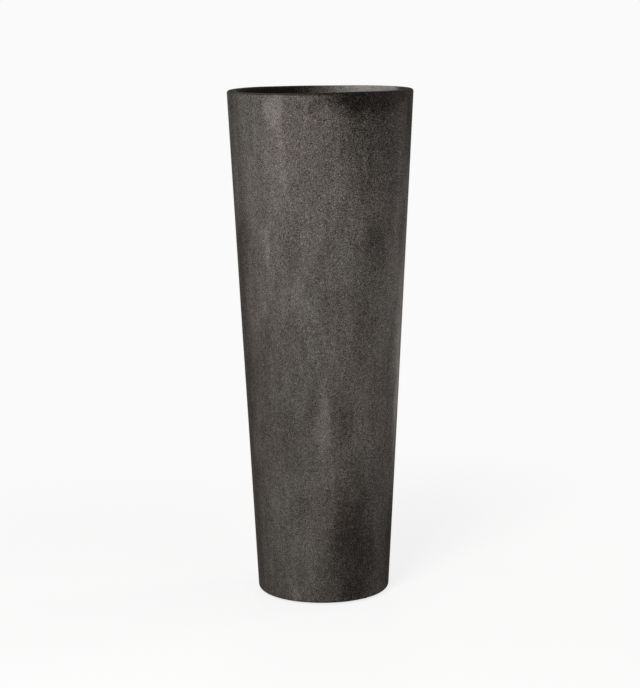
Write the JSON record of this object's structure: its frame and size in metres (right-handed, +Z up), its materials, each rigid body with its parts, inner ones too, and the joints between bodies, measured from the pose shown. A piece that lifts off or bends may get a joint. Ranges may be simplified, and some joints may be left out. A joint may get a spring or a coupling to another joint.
{
  "type": "tall planter",
  "caption": "Tall round tapered planter with a turned-in rim, a lift-out planting shelf inside, a drain plug and a raised base.",
  "frame": {"origin": "on the ground under the middle of the base", "axes": "+Z up along the planter's axis of symmetry, +X and +Y level; the shelf's finger holes are on X"},
  "size_m": [0.3624, 0.3623, 1],
  "materials": {
    "laminate": "glass-fibre laminate with a weathered lead-grey gelcoat, matt",
    "ledge_laminate": "glass-fibre laminate, flow-coated, matt",
    "shelf_plastic": "moulded polypropylene, fine matt grain",
    "plug_rubber": "moulded rubber, matt",
    "foot_rubber": "moulded rubber, matt"
  },
  "bodies": {
    "planter": {"planter_shell": "laminate", "shelf_ledge_1": "ledge_laminate", "shelf_ledge_2": "ledge_laminate", "shelf_ledge_3": "ledge_laminate", "shelf_ledge_4": "ledge_laminate", "foot_1": "foot_rubber", "foot_2": "foot_rubber", "foot_3": "foot_rubber", "foot_4": "foot_rubber"},
    "shelf": {"planting_shelf": "shelf_plastic"},
    "plug": {"drain_plug": "plug_rubber"}
  },
  "joints": [
    {"name": "shelf_lift", "type": "slide", "parent": "planter", "child": "shelf", "axis": [0, 0, 1], "range_m": [0, 0.442]},
    {"name": "plug_pull", "type": "slide", "parent": "planter", "child": "plug", "axis": [0, 0, 1], "range_m": [0, 0.05]}
  ]
}
